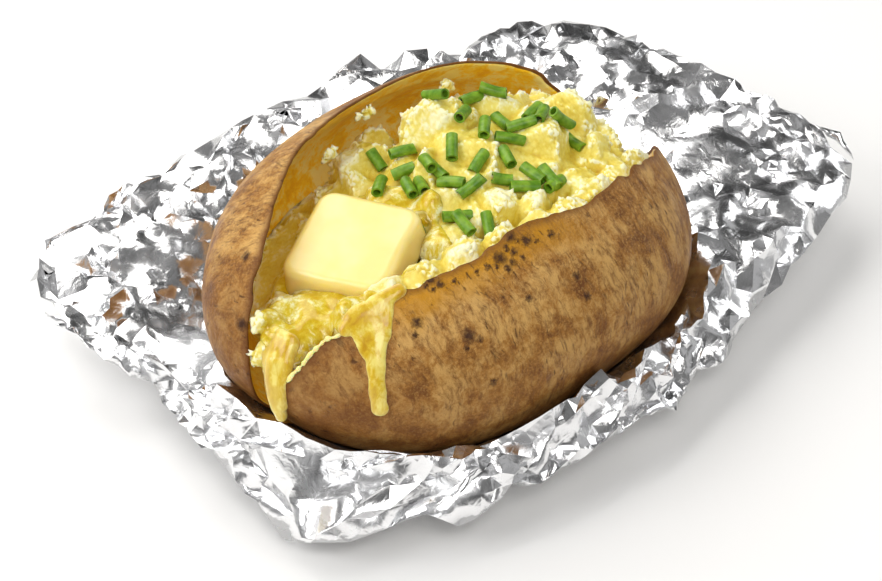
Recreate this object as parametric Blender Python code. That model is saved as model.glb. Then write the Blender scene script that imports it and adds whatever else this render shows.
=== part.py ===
"""A baked potato split along its length and opened out, with fluffed flesh and a pat of butter,
resting in the crumpled foil that it was baked in.

Metres, +Z up. X runs along the potato, with the buttered end at -X. The split runs along X, with
the low front wall at -Y and the tall thin back wall at +Y. The foil's base rests on z = 0.
"""

import math
import random

import bmesh
import bpy
from mathutils import Matrix, Vector, noise
from mathutils.bvhtree import BVHTree

# The closed potato, before it was split.
HALF_LENGTH = 0.0707
HALF_WIDTH = 0.0480
HALF_HEIGHT = 0.0373
SIDE_FULLNESS = 2.27  # exponent of the superellipse towards the sides, 2 being round
FAR_END_SWELL = 0.10  # how much wider the far end is, as a fraction
UNEVENNESS = 0.0011  # how far the skin wanders in or out
UNEVEN_SCALE = 28.0  # wanders per metre
WALL = 0.0040  # skin with the flesh that clings to it

# Each half turned outwards about the hinge line, by an angle that changes along the length:
# at the middle, per half-length towards the far end, and per half-length squared.
HINGE_RISE = 0.0162
BACK_OPENING = (0.604, 0.140, -0.391)
FRONT_OPENING = (0.636, 0.194, -0.098)

# The foil: a thin crumpled sheet, flat under the potato, then up its sides and out to a brim.
FOIL = 0.0012
NEST_GAP = 0.0011  # foil to skin, where the foil hugs it
POTATO_REST = FOIL + 0.0004
FLAT_SHARE = 0.40  # of the reach of the potato, the part of the base that is flat
NEST_SHARES = (0.2, FLAT_SHARE, 0.58, 0.73, 0.85, 0.94, 1.0)
BRIM_SHARES = (0.08, 0.24, 0.42, 0.61, 0.80, 1.0)
ASIDE = (0, 8, -8, 16, -16)  # degrees to turn a ray that slips into the split
STEEPEST = 0.3  # least upward share of the skin's normal that the foil's clearance allows for
FRONT_CREST = 0.0330
BACK_TROUGH = 0.0130
CRUMPLE = 0.0022
# Round the sheet's edge: direction in degrees, reach from the middle, height of the edge.
SHEET_EDGE = (
    (-163, 0.088, 0.007),
    (-150, 0.076, 0.011),
    (-122, 0.069, 0.014),
    (-100, 0.066, 0.014),
    (-70, 0.074, 0.014),
    (-46, 0.091, 0.015),
    (-31, 0.123, 0.020),
    (-24, 0.136, 0.022),
    (-2, 0.121, 0.030),
    (22, 0.127, 0.033),
    (34, 0.102, 0.033),
    (66, 0.086, 0.034),
    (97, 0.087, 0.032),
    (112, 0.096, 0.028),
    (124, 0.114, 0.023),
    (138, 0.098, 0.019),
    (151, 0.081, 0.017),
    (180, 0.080, 0.014),
)

# The fluffed flesh, measured from a point at its heart. Each dome is a middle and a reach, and
# the outermost dome shows: lumpy ones heaped up, and smooth ones for the bed that fills the
# halves and for the softer end that the butter sits on.
HEART = Vector((-0.008, -0.001, 0.031))
LUMPY_DOMES = (
    (Vector((0.018, -0.002, 0.038)), Vector((0.049, 0.039, 0.0315))),
    (Vector((-0.006, 0.019, 0.035)), Vector((0.026, 0.025, 0.0235))),
)
SMOOTH_DOMES = (
    (Vector((-0.034, -0.003, 0.030)), Vector((0.038, 0.032, 0.0200))),
    (Vector((0.000, -0.002, 0.021)), Vector((0.068, 0.062, 0.0265))),
)
LUMP_DEPTH = 0.0060
LUMP_SCALE = 85.0  # lumps per metre
LUMP_ROUNDNESS = 1.6
FLESH_GAP = 0.0007
POTATO_MIDDLE = Vector((0, 0, POTATO_REST + HALF_HEIGHT))
CAVITY_REACH = Vector((0.0555, 0.080, 0.060))  # keeps flesh inside the ends

# The pat of butter, cut square from a stick.
PAT_SIZE = Vector((0.0280, 0.0280, 0.0100))
PAT_MIDDLE = Vector((-0.0303, 0.0034, 0.0526))
PAT_YAW = math.radians(17)
PAT_PITCH = math.radians(-12)  # the near edge has sunk
PAT_ROLL = math.radians(-4)
PAT_EDGE = 0.0028
SEAT_GAP = 0.0004

POTATO_ROUND = 48
POTATO_ACROSS = 18
FOIL_SIDES = 60
FLESH_ROUND = 44
FLESH_ACROSS = 28


def clear_scene():
    for leftover in list(bpy.data.objects):
        bpy.data.objects.remove(leftover)


def make_material(name, colour, roughness, metallic=0.0):
    material = bpy.data.materials.new(name)
    material.use_nodes = True
    shader = material.node_tree.nodes["Principled BSDF"]
    shader.inputs["Base Color"].default_value = (*colour, 1.0)
    shader.inputs["Roughness"].default_value = roughness
    shader.inputs["Metallic"].default_value = metallic
    return material


def make_object(name, bm, material):
    mesh = bpy.data.meshes.new(name)
    bm.to_mesh(mesh)
    bm.free()
    mesh.materials.append(material)
    mesh.shade_smooth()
    obj = bpy.data.objects.new(name, mesh)
    bpy.context.scene.collection.objects.link(obj)
    return obj


def tree_of(obj):
    """The surface of an object, with its modifiers, for measuring rays against."""
    bpy.context.view_layer.update()
    return BVHTree.FromObject(obj, bpy.context.evaluated_depsgraph_get())


# ---- the potato -----------------------------------------------------------


def closed_point(direction):
    """Where a direction from the middle meets the closed potato, whose lowest point is at z = 0."""
    round_x = math.hypot(direction.x, direction.z)
    full = round_x ** (2 / SIDE_FULLNESS - 1) if round_x > 1e-6 else 0.0
    x = HALF_LENGTH * direction.x * full
    z = HALF_HEIGHT * (1 + direction.z * full)
    side = math.copysign(abs(direction.y) ** (2 / SIDE_FULLNESS), direction.y)
    y = HALF_WIDTH * side * (1 + FAR_END_SWELL * x / HALF_LENGTH)
    return Vector((x, y, z))


def opened_point(point, side):
    """The same point once its half, +1 for the back and -1 for the front, has turned outwards."""
    along = point.x / HALF_LENGTH
    middle, slope, bow = BACK_OPENING if side > 0 else FRONT_OPENING
    turn = middle + slope * along + bow * along**2
    rise = point.z - HINGE_RISE
    reach = math.hypot(point.y, rise)
    angle = math.atan2(abs(point.y), -rise) * (1 - turn / math.pi)
    return Vector((point.x, side * reach * math.sin(angle), HINGE_RISE - reach * math.cos(angle)))


def uneven(point, normal):
    """A point moved in or out along the normal, as no potato is quite even."""
    return point + normal * UNEVENNESS * noise.noise(point * UNEVEN_SCALE)


def split_along_the_top(bm):
    """Parts the faces along the plane y = 0, wherever the closed potato is above the hinge."""

    def above_hinge(vert):
        return closed_point(vert.co).z > HINGE_RISE

    middle = [edge for edge in bm.edges if all(abs(v.co.y) < 1e-6 for v in edge.verts)]
    parted = [edge for edge in middle if any(above_hinge(v) for v in edge.verts)]
    bmesh.ops.split_edges(bm, edges=parted)


def make_shell(material):
    bm = bmesh.new()
    bmesh.ops.create_uvsphere(bm, u_segments=POTATO_ROUND, v_segments=POTATO_ACROSS, radius=1.0)
    bmesh.ops.rotate(bm, verts=bm.verts, matrix=Matrix.Rotation(math.pi / 2, 3, "X"))
    split_along_the_top(bm)
    for vert in bm.verts:
        outward = sum(face.calc_center_median().y for face in vert.link_faces)
        side = 1 if outward > 0 else -1
        opened = opened_point(closed_point(vert.co.normalized()), side)
        vert.co = uneven(opened, vert.co.normalized())
    lowest = min(vert.co.z for vert in bm.verts)
    bmesh.ops.translate(bm, verts=bm.verts, vec=(0, 0, POTATO_REST - lowest))
    bmesh.ops.recalc_face_normals(bm, faces=bm.faces)
    shell = make_object("potato_shell", bm, material)
    wall = shell.modifiers.new("wall", "SOLIDIFY")
    wall.thickness = WALL
    wall.offset = -1
    return shell


# ---- the flesh and the butter ---------------------------------------------


def dome_reach(start, direction, middle, reach):
    """How far it is from a point inside an ellipsoid to its surface."""
    at = Vector((start - middle)[i] / reach[i] for i in range(3))
    way = Vector(direction[i] / reach[i] for i in range(3))
    half = at.dot(way)
    return (-half + math.sqrt(half**2 - way.dot(way) * (at.dot(at) - 1))) / way.dot(way)


def lumpy(point):
    """0 deep between two lumps, up to about 1 on the crown of a lump."""
    near, far = noise.voronoi(point * LUMP_SCALE)[0][:2]
    return min(1.0, LUMP_ROUNDNESS * (far - near))


def make_flesh(material, shell):
    wall = tree_of(shell)
    bm = bmesh.new()
    bmesh.ops.create_uvsphere(bm, u_segments=FLESH_ROUND, v_segments=FLESH_ACROSS, radius=1.0)
    bmesh.ops.rotate(bm, verts=bm.verts, matrix=Matrix.Rotation(math.pi / 2, 3, "Y"))
    for vert in bm.verts:
        way = vert.co.normalized()
        mound = max(dome_reach(HEART, way, *dome) for dome in LUMPY_DOMES)
        mound -= LUMP_DEPTH * (1 - lumpy(HEART + way * mound))
        reach = max(mound, *(dome_reach(HEART, way, *dome) for dome in SMOOTH_DOMES))
        reach = min(reach, dome_reach(HEART, way, POTATO_MIDDLE, CAVITY_REACH))
        hit = wall.ray_cast(HEART, way)
        if hit[0] is not None:
            facing = abs(hit[1].dot(way))
            reach = min(reach, hit[3] - FLESH_GAP / max(facing, 0.3))
        vert.co = HEART + way * reach
    return make_object("fluffy_flesh", bm, material)


def make_pat(name, material, grown):
    bm = bmesh.new()
    bmesh.ops.create_cube(bm, size=1.0)
    bmesh.ops.scale(bm, vec=PAT_SIZE + Vector((2, 2, 2)) * grown, verts=bm.verts)
    bmesh.ops.bevel(
        bm, geom=bm.edges, offset=PAT_EDGE, segments=3, profile=0.5, affect="EDGES", material=-1
    )
    pose = Matrix.Rotation(PAT_YAW, 3, "Z") @ Matrix.Rotation(PAT_PITCH, 3, "Y")
    pose = pose @ Matrix.Rotation(PAT_ROLL, 3, "X")
    bmesh.ops.rotate(bm, verts=bm.verts, matrix=pose)
    bmesh.ops.translate(bm, verts=bm.verts, vec=PAT_MIDDLE)
    return make_object(name, bm, material)


def seat_the_pat(flesh, material):
    """Presses a hollow for the pat into the flesh."""
    seat = make_pat("pat_seat", material, SEAT_GAP)
    seat.hide_render = True
    seat.display_type = "WIRE"
    hollow = flesh.modifiers.new("seat", "BOOLEAN")
    hollow.operation = "DIFFERENCE"
    hollow.solver = "EXACT"
    hollow.object = seat


# ---- the foil --------------------------------------------------------------


def edge_of_sheet(degrees):
    """Reach and height of the sheet's edge in a direction, straight between the listed places."""
    listed = sorted(SHEET_EDGE)
    last, first = listed[-1], listed[0]
    ring = [(last[0] - 360, *last[1:]), *listed, (first[0] + 360, *first[1:])]
    for (a, reach_a, high_a), (b, reach_b, high_b) in zip(ring, ring[1:]):
        if a <= degrees <= b:
            share = (degrees - a) / (b - a)
            return reach_a + (reach_b - reach_a) * share, high_a + (high_b - high_a) * share
    raise ValueError(degrees)


def frontness(degrees):
    """1 where the foil stands close up against the potato, 0 where it opens out in a bowl."""
    away = abs((degrees + 115 + 180) % 360 - 180)
    return min(1.0, max(0.0, (115 - away) / 45))


def brim_height(degrees, share, edge_height):
    """Height of the brim at a share of the way from the potato to the sheet's edge."""
    front = FRONT_CREST + (edge_height - FRONT_CREST) * max(0.0, share) ** 0.8
    climb = math.sin(min(1.0, max(0.0, share) / 0.8) * math.pi / 2)
    back = BACK_TROUGH + (edge_height - BACK_TROUGH) * climb
    mix = frontness(degrees)
    return front * mix + back * (1 - mix)


def flat_way(degrees):
    return Vector((math.cos(math.radians(degrees)), math.sin(math.radians(degrees)), 0))


def belly_reach(skin, degrees):
    """How far out the potato's widest part is. A ray that slips into the split is turned aside."""
    for turn in ASIDE:
        way = flat_way(degrees + turn)
        outside = way * 2 * HALF_LENGTH + Vector((0, 0, POTATO_REST + 0.95 * HALF_HEIGHT))
        hit = skin.ray_cast(outside, -way)
        if hit[0] is not None and hit[3] < 1.5 * HALF_LENGTH:
            return 2 * HALF_LENGTH - hit[3]
    raise ValueError(degrees)


def underside(skin, reach, degrees):
    """The potato's height over a place, less the nest's gap, or None where nothing is over it."""
    for turn in ASIDE:
        hit = skin.ray_cast(flat_way(degrees + turn) * reach, Vector((0, 0, 1)))
        if hit[0] is not None and hit[0].z < HALF_HEIGHT + POTATO_REST:
            return hit[0].z - NEST_GAP / max(STEEPEST, abs(hit[1].z))
    return None


def foil_point(skin, degrees, share, nested):
    """A place on the foil's upper side: under the potato if nested, and otherwise on the brim."""
    way = flat_way(degrees)
    crest_reach = belly_reach(skin, degrees) + NEST_GAP
    edge_reach, edge_height = edge_of_sheet(degrees)
    if nested:
        point = way * crest_reach * share
        point.z = FOIL if share <= FLAT_SHARE else brim_height(degrees, 0.0, edge_height)
    else:
        point = way * (crest_reach + (edge_reach - crest_reach) * share)
        point.z = brim_height(degrees, share, edge_height)
    under = underside(skin, math.hypot(point.x, point.y), degrees)
    if under is not None:
        point.z = max(FOIL, min(point.z, under))
    return point


def make_foil(material, shell):
    skin = tree_of(shell)
    rng = random.Random(11)
    bm = bmesh.new()
    bmesh.ops.create_circle(bm, cap_ends=True, cap_tris=True, segments=FOIL_SIDES, radius=1.0)
    middle = min(bm.verts, key=lambda vert: vert.co.length)
    middle.co.z = FOIL
    ring = [vert for vert in bm.verts if vert is not middle]
    for share in NEST_SHARES + BRIM_SHARES:
        nested = share in NEST_SHARES and len(bm.verts) <= 1 + FOIL_SIDES * len(NEST_SHARES)
        for vert in ring:
            vert.co = foil_point(skin, math.degrees(math.atan2(vert.co.y, vert.co.x)), share, nested)
            if not nested:
                vert.co.z += rng.uniform(-CRUMPLE, CRUMPLE)
        rim = [edge for edge in bm.edges if edge.is_boundary]
        if share is not BRIM_SHARES[-1]:
            grown = bmesh.ops.extrude_edge_only(bm, edges=rim)["geom"]
            ring = [item for item in grown if isinstance(item, bmesh.types.BMVert)]
    bmesh.ops.recalc_face_normals(bm, faces=bm.faces)
    if middle.normal.z < 0:
        bmesh.ops.reverse_faces(bm, faces=bm.faces)
    foil = make_object("foil_wrapper", bm, material)
    sheet = foil.modifiers.new("sheet", "SOLIDIFY")
    sheet.thickness = FOIL
    sheet.offset = -1
    return foil


def main():
    clear_scene()
    skin = make_material("potato_skin", (0.42, 0.24, 0.10), 0.6)
    flesh_colour = make_material("potato_flesh", (0.90, 0.78, 0.38), 0.5)
    butter = make_material("butter", (0.95, 0.80, 0.36), 0.35)
    shell = make_shell(skin)
    flesh = make_flesh(flesh_colour, shell)
    make_pat("butter_pat", butter, 0.0)
    seat_the_pat(flesh, butter)
    make_foil(make_material("foil", (0.80, 0.80, 0.82), 0.25, 1.0), shell)


main()
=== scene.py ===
# %% [markdown]
# # A baked potato in foil
#
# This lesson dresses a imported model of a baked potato: split along its length, turned open,
# fluffed up, buttered, and still sitting in its foil. The solid parts are already the right
# size and in the right place. Each step gives one of them, or one thing that lies on them, the
# shape and the finish that the eye expects.
#
# Everything is in metres with +Z up. X runs along the potato, with the butter at the -X end.

# %% Load the frame
import math
import random

import bmesh
import bpy
from mathutils import Matrix, Vector, noise
from mathutils.bvhtree import BVHTree


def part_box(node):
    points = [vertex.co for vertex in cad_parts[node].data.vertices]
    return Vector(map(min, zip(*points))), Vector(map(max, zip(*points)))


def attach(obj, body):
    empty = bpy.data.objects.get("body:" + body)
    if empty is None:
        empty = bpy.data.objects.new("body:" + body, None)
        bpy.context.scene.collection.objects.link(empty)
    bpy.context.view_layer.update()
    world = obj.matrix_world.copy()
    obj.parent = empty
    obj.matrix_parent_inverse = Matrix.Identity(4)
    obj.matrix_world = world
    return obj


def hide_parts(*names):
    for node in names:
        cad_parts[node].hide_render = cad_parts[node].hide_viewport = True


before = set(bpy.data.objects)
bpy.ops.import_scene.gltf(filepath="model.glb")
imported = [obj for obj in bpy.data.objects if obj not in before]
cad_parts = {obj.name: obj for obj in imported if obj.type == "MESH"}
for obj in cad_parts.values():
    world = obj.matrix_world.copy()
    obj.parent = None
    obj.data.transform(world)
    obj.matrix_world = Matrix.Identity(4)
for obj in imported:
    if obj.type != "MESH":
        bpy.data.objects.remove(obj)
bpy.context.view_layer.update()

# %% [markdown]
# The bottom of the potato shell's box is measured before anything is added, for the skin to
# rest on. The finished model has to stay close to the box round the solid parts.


shell_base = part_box("potato_shell")[0].z
MM = 0.001

# %% [markdown]
# ## Small helpers
#
# A finish is a Principled shader with patterns plugged into it. Patterns are read from the
# Object coordinates, turned into millimetres, so that a noise of scale 0.5 has features about
# 2 mm across. The class below only saves typing: each method adds one node and hands back
# the socket to plug in next. The numbers in the finishes are given one by one.


# %% A shader helper
class Finish:
    """A Principled material, with short ways to add pattern nodes to it."""

    def __init__(self, name, **uniform):
        self.material = bpy.data.materials.new(name)
        self.material.use_nodes = True
        self.tree = self.material.node_tree
        self.shader = self.tree.nodes["Principled BSDF"]
        for socket, value in uniform.items():
            self.shader.inputs[socket.replace("_", " ")].default_value = value
        place = self.node("ShaderNodeTexCoord").outputs["Object"]
        self.mm = self.vector("SCALE", place, scale=1000.0)

    def node(self, kind, **settings):
        """A new node of this kind, with its settings made."""
        made = self.tree.nodes.new(kind)
        for name, value in settings.items():
            setattr(made, name, value)
        return made

    def plug(self, socket, value):
        """Feeds a socket, either from another node or with a plain value."""
        if isinstance(value, bpy.types.NodeSocket):
            self.tree.links.new(value, socket)
        elif value is not None:
            socket.default_value = value

    def vector(self, operation, a, b=None, scale=None):
        made = self.node("ShaderNodeVectorMath", operation=operation)
        self.plug(made.inputs[0], a)
        self.plug(made.inputs[1], b)
        self.plug(made.inputs[3], scale)
        return made.outputs[1 if operation in ("LENGTH", "DISTANCE") else 0]

    def noise(self, scale, detail=3.0, rough=0.55, at=None, colour=False, warp=0.0):
        made = self.node("ShaderNodeTexNoise")
        self.plug(made.inputs["Vector"], at or self.mm)
        self.plug(made.inputs["Scale"], scale)
        self.plug(made.inputs["Detail"], detail)
        self.plug(made.inputs["Roughness"], rough)
        self.plug(made.inputs["Distortion"], warp)
        return made.outputs["Color" if colour else 0]

    def cell_walls(self, scale, at):
        """How far away the nearest wall is, in a pattern of random cells."""
        made = self.node("ShaderNodeTexVoronoi", feature="DISTANCE_TO_EDGE")
        self.plug(made.inputs["Vector"], at)
        self.plug(made.inputs["Scale"], scale)
        return made.outputs["Distance"]

    def warped(self, amount, scale):
        """Coordinates pushed about by a noise, which breaks up any regular pattern."""
        swirl = self.noise(scale, 2.0, colour=True)
        push = self.vector("MULTIPLY_ADD", swirl, (amount,) * 3)
        self.plug(push.node.inputs[2], self.mm)
        return push

    def math(self, operation, a, b=None, c=None):
        made = self.node("ShaderNodeMath", operation=operation)
        for socket, value in zip(made.inputs, (a, b, c)):
            self.plug(socket, value)
        return made.outputs[0]

    def times(self, a, b):
        return self.math("MULTIPLY", a, b)

    def span(self, value, low, high, to_low=0.0, to_high=1.0):
        """The value stretched from one range to another, and kept in it."""
        made = self.node("ShaderNodeMapRange")
        for socket, given in zip(made.inputs, (value, low, high, to_low, to_high)):
            self.plug(socket, given)
        return made.outputs[0]

    def ramp(self, value, *stops):
        """A colour ramp through (place, colour) stops."""
        made = self.node("ShaderNodeValToRGB")
        self.plug(made.inputs[0], value)
        marks = made.color_ramp.elements
        while len(marks) < len(stops):
            marks.new(0.5)
        for mark, (place, colour) in zip(marks, stops):
            mark.position = place
            mark.color = (*colour, 1.0)
        return made.outputs[0]

    def mix(self, share, a, b):
        """Colour a turning into colour b as the share goes from 0 to 1."""
        made = self.node("ShaderNodeMix", data_type="RGBA")
        self.plug(made.inputs["Factor"], share)
        for socket, value in ((made.inputs[6], a), (made.inputs[7], b)):
            self.plug(socket, (*value, 1.0) if isinstance(value, tuple) else value)
        return made.outputs[2]

    def attribute(self, name):
        """A value that was stored on the mesh's own points."""
        return self.node("ShaderNodeAttribute", attribute_name=name).outputs["Fac"]

    def coordinate(self, axis):
        """The place along one axis, in millimetres."""
        made = self.node("ShaderNodeSeparateXYZ")
        self.plug(made.inputs[0], self.mm)
        return made.outputs[axis]

    def edge_on(self, blend):
        """0 where a surface faces the viewer, rising to 1 where it turns away."""
        seen = self.node("ShaderNodeLayerWeight")
        seen.inputs["Blend"].default_value = blend
        return seen.outputs["Facing"]

    def relief(self, height, depth_mm, strength=1.0):
        """Adds a height pattern to the surface's bump, on top of any that is there already."""
        made = self.node("ShaderNodeBump")
        self.plug(made.inputs["Height"], height)
        self.plug(made.inputs["Distance"], depth_mm * MM)
        self.plug(made.inputs["Strength"], strength)
        socket = self.shader.inputs["Normal"]
        if socket.is_linked:
            self.plug(made.inputs["Normal"], socket.links[0].from_socket)
        self.plug(socket, made.outputs[0])

    def set(self, socket, value):
        self.plug(self.shader.inputs[socket], value)


# %% [markdown]
# A piece is a mesh object on the frame's one body. Every piece goes through the same last
# steps, so they are one function: give it its finish, ride it on the body, and hide the solids
# of the frame that it stands for.


# %% Helpers for pieces
def as_object(name, bm):
    """A mesh object in the scene, made from a bmesh that isn't needed any more."""
    mesh = bpy.data.meshes.new(name)
    bm.to_mesh(mesh)
    bm.free()
    obj = bpy.data.objects.new(name, mesh)
    bpy.context.scene.collection.objects.link(obj)
    return obj


def dress(obj, finish, slot, *stands_for):
    """Gives a piece its finish, rides it on the body and hides the solids that it stands for."""
    obj.data.materials.clear()
    obj.data.materials.append(finish.material)
    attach(obj, "root")
    if stands_for:
        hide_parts(*stands_for)
    faces = sum(len(face.vertices) - 2 for face in obj.data.polygons)
    print(obj.name, "has", faces, "triangles")


def shape_of(obj):
    """A bmesh copy of an object."""
    bm = bmesh.new()
    bm.from_mesh(obj.data)
    return bm


def surface_of(obj):
    """A search tree over a mesh object, for dropping things onto it."""
    bm = shape_of(obj)
    tree = BVHTree.FromBMesh(bm)
    bm.free()
    return tree


def remeshed(obj, voxel):
    """Melts overlapping shapes into one skin of even little squares."""
    modifier = obj.modifiers.new("melt", "REMESH")
    modifier.mode = "VOXEL"
    modifier.voxel_size = voxel
    modifier.use_smooth_shade = True
    bpy.context.view_layer.update()
    graph = bpy.context.evaluated_depsgraph_get()
    melted = bpy.data.meshes.new_from_object(obj.evaluated_get(graph))
    obj.modifiers.clear()
    obj.data = melted


def add_to(total, extra):
    """Adds a copy of one bmesh to another, and lets the first go."""
    mesh = bpy.data.meshes.new("extra")
    extra.to_mesh(mesh)
    extra.free()
    total.from_mesh(mesh)
    bpy.data.meshes.remove(mesh)


def soften(bm, times):
    """Draws every point half-way to the middle of its neighbours, so many times."""
    for _ in range(times):
        bmesh.ops.smooth_vert(bm, verts=bm.verts, factor=0.5,
                              use_axis_x=True, use_axis_y=True, use_axis_z=True)


def rise_of(edge):
    return abs(edge.verts[0].co.z - edge.verts[1].co.z)


def thicken(obj, depth):
    """Gives a sheet a depth, inwards from its outer side."""
    layer = obj.modifiers.new("depth", "SOLIDIFY")
    layer.thickness = depth
    layer.offset = -1
    return layer


def random_way(rng):
    """A random step, of up to 1 along each axis."""
    return Vector(rng.uniform(-1, 1) for _ in range(3))


def kept_in(value, low=0.0, high=1.0):
    """The value, or the end of the range that it has passed."""
    return max(low, min(high, value))


# %% [markdown]
# ## Camera, floor and light
#
# The camera looks down at the potato from its buttered front corner with a long lens, as food
# is often shot. Foil has no colour of its own: it shows what is round it. So the light is a few
# large soft panels in a dim grey room, which gives some facets white and others dark grey.

# %% Camera
CAMERA_TURN = math.radians(-51.04)
CAMERA_RISE = math.radians(40.1)
CAMERA_DISTANCE = 0.5526
CAMERA_LENS = 85
LOOK_AT = Vector((-0.0062, -0.0053, 0.0289))


def way_from(turn, rise):
    """The direction from the subject to something seen at that compass turn and rise."""
    flat = math.cos(rise)
    return Vector((math.sin(turn) * flat, -math.cos(turn) * flat, math.sin(rise)))


def aim(obj, target):
    obj.rotation_euler = (Vector(target) - obj.location).to_track_quat("-Z", "Y").to_euler()


camera = bpy.data.objects.new("camera", bpy.data.cameras.new("camera"))
bpy.context.scene.collection.objects.link(camera)
camera.data.lens = CAMERA_LENS
camera.location = LOOK_AT + way_from(CAMERA_TURN, CAMERA_RISE) * CAMERA_DISTANCE
aim(camera, LOOK_AT)
bpy.context.scene.camera = camera
print("camera at", tuple(round(value, 4) for value in camera.location))

# %% [markdown]
# The floor is a plain pale board, and isn't part of the object.

# %% Floor
FLOOR_REACH = 2.5
floor_bm = bmesh.new()
bmesh.ops.create_grid(floor_bm, x_segments=1, y_segments=1, size=FLOOR_REACH)
floor = as_object("floor", floor_bm)
pale = Finish("pale_floor", Base_Color=(0.86, 0.855, 0.845, 1.0), Roughness=0.75)
floor.data.materials.append(pale.material)
print("floor is", 2 * FLOOR_REACH, "m wide")

# %% [markdown]
# The strongest panel is behind, and gives the foil and the butter their bright rims. The others
# fill in from the front and the sides. The room is a cloudy grey, which the foil mirrors.

# %% Lights
WORLD_GREY = 0.42
ROOM_PATCHES = 1.7
DARK_GREY = (0.10, 0.10, 0.10, 1.0)
WHITE = (1.0, 1.0, 1.0, 1.0)
WARM = (1.0, 0.985, 0.96)
LIT_PLACE = (0, 0, 0.03)


def softbox(name, turn, rise, distance, size, power, tint=(1.0, 1.0, 1.0)):
    """A square panel of light, aimed at the potato."""
    light = bpy.data.lights.new(name, "AREA")
    light.shape = "SQUARE"
    light.size = size
    light.energy = power
    light.color = tint
    panel = bpy.data.objects.new(name, light)
    bpy.context.scene.collection.objects.link(panel)
    panel.location = way_from(math.radians(turn), math.radians(rise)) * distance
    aim(panel, LIT_PLACE)


softbox("window", 168, 52, 1.0, 0.9, 7.2, WARM)
softbox("left_panel", -120, 40, 1.0, 0.5, 4.6)
softbox("front_panel", -38, 50, 1.1, 0.5, 4.9, WARM)
softbox("right_panel", 70, 34, 1.1, 0.6, 2.2)
softbox("low_front_panel", -60, 12, 1.3, 0.4, 0.8)
world = bpy.data.worlds.new("studio")
bpy.context.scene.world = world
world.use_nodes = True
room = world.node_tree
patches = room.nodes.new("ShaderNodeTexNoise")
patches.inputs["Scale"].default_value = ROOM_PATCHES
patches.inputs["Detail"].default_value = 1.0
greys = room.nodes.new("ShaderNodeValToRGB")
for mark, place, grey in zip(greys.color_ramp.elements, (0.38, 0.62), (DARK_GREY, WHITE)):
    mark.position = place
    mark.color = grey
way_seen = room.nodes.new("ShaderNodeTexCoord")
room.links.new(way_seen.outputs["Generated"], patches.inputs["Vector"])
room.links.new(patches.outputs[0], greys.inputs[0])
room.links.new(greys.outputs[0], room.nodes["Background"].inputs["Color"])
room.nodes["Background"].inputs["Strength"].default_value = WORLD_GREY
bpy.context.scene.view_settings.view_transform = "Standard"

# %% [markdown]
# ## The foil
#
# Kitchen foil that has been crumpled and flattened again is a net of sharp creases with almost
# flat facets between them, of every size. The frame's foil already has the big bends. Halving
# some of the edges again and again, and pushing each new point in or out, adds smaller creases.
# Which edges are halved depends on a slow noise, so calm areas keep large flat facets.

# %% Take the upper side of the frame's foil
FOIL_THICK = 0.00012
FACES_UP = 0.02
# Nearer than this to the middle, the base is left as it is, and then left unfolded.
FLAT_BASE = 0.03
UNFOLDED_BASE = 0.04
# The longest edge that a round leaves alone, and how readily it halves the longer ones.
FOIL_ROUNDS = ((0.0115, 1.0), (0.0086, 0.50), (0.0060, 0.26), (0.0042, 0.13))
FOIL_JITTER = 0.0019
FOIL_PUSH = 0.115
SKIN_CLEARANCE = 0.0009
FOLDING_ROOM = 0.006
EDGE_FREEDOM = 0.4
SIDEWAYS = 0.8
BUSY_PATCHES = 38
SHARP_CREASE = math.radians(13)
CALMING = 0.28
FOIL_LOWEST = 0.0004


def upper_side(node):
    """A bmesh of the faces of a thin node that look up, merged into one sheet."""
    bm = shape_of(node)
    bmesh.ops.remove_doubles(bm, verts=bm.verts, dist=1e-6)
    bm.normal_update()
    under = [face for face in bm.faces if face.normal.z < FACES_UP]
    bmesh.ops.delete(bm, geom=under, context="FACES")
    return bm


foil_bm = upper_side(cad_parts["foil_wrapper"])
print("foil sheet starts with", len(foil_bm.faces), "faces")

# %% [markdown]
# The points are first shifted at random, so that no rows are left to see, and four rounds of
# halving follow. Where the foil hugs the potato there is no room for folds, so they fade out.

# %% Crumple it
shell_tree = surface_of(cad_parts["potato_shell"])
crumple_rng = random.Random(5)


def room_for_folds(place):
    """0 where the foil hugs the potato, 1 once it is clear of it."""
    near = shell_tree.find_nearest(place)
    return kept_in((near[3] - SKIN_CLEARANCE) / FOLDING_ROOM)


def busyness(place):
    """How finely the foil is crumpled here, from 0 in the calm areas to 1."""
    return kept_in(0.55 + 1.5 * noise.noise(place * BUSY_PATCHES))


def jitter_net(bm):
    """Shifts the points of a regular net, so that no rows are left to see."""
    for vert in bm.verts:
        if vert.co.xy.length > FLAT_BASE:
            room = room_for_folds(vert.co) * (EDGE_FREEDOM if vert.is_boundary else 1.0)
            vert.co += random_way(crumple_rng) * Vector((1, 1, 0.35)) * FOIL_JITTER * room


def chance_to_halve(middle, share):
    """How likely an edge is to be halved. The first round, with a share of 1, halves all."""
    if share == 1:
        return 1
    busy = busyness(middle)
    return (share + (1 - share) * busy) * (busy + 0.2)


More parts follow.
